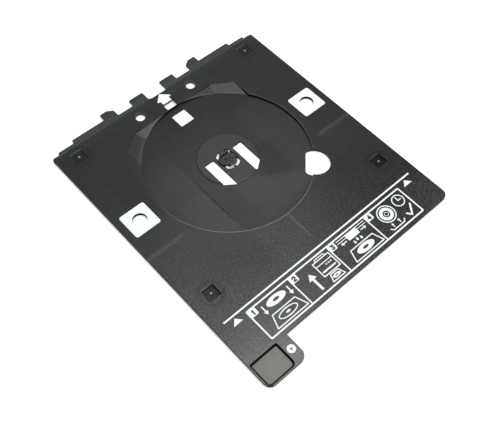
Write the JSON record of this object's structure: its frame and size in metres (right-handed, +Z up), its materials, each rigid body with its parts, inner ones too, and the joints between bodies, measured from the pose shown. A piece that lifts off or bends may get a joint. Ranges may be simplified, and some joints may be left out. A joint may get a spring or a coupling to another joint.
{
  "type": "disc printing tray",
  "caption": "Flat plastic tray that holds one disc on a sprung hub and carries it, label side up, through a printer.",
  "frame": {"origin": "on the disc's axis, at the level of the tray's underside", "axes": "+Y is the way the tray is fed into the printer, +X is to the right of it, +Z is up, out of the label side"},
  "size_m": [0.1858, 0.2323, 0.003],
  "materials": {
    "plate_plastic": "fine matt texture",
    "hub_plastic": "satin",
    "mark_film": "matt white film",
    "pad_plastic": "smooth satin",
    "printed_ink": "matt white ink"
  },
  "bodies": {
    "tray": {"tray_plate": "plate_plastic", "hub_base": "hub_plastic", "position_mark_left": "mark_film", "position_mark_right": "mark_film", "thumb_pad": "pad_plastic", "feed_line": "printed_ink", "feed_pointer_left": "printed_ink", "feed_pointer_right": "printed_ink", "direction_arrow": "printed_ink", "instruction_frame": "printed_ink", "step_number_1": "printed_ink", "step_number_2": "printed_ink", "step_number_3": "printed_ink", "step_number_4": "printed_ink", "step_picture_1": "printed_ink", "step_picture_2": "printed_ink", "step_picture_3": "printed_ink", "step_picture_4": "printed_ink", "tail_badge": "printed_ink"},
    "front_claw": {"hub_claw_front": "hub_plastic"},
    "rear_claw": {"hub_claw_rear": "hub_plastic"}
  },
  "joints": [
    {"name": "front_claw_bend", "type": "hinge", "parent": "tray", "child": "front_claw", "pos_m": [0, 0.0049, 0.0008], "axis": [1, 0, 0], "range_deg": [0, 12], "stiffness_Nm_per_rad": 0.02},
    {"name": "rear_claw_bend", "type": "hinge", "parent": "tray", "child": "rear_claw", "pos_m": [0, -0.0049, 0.0008], "axis": [-1, 0, 0], "range_deg": [0, 12], "stiffness_Nm_per_rad": 0.02}
  ]
}
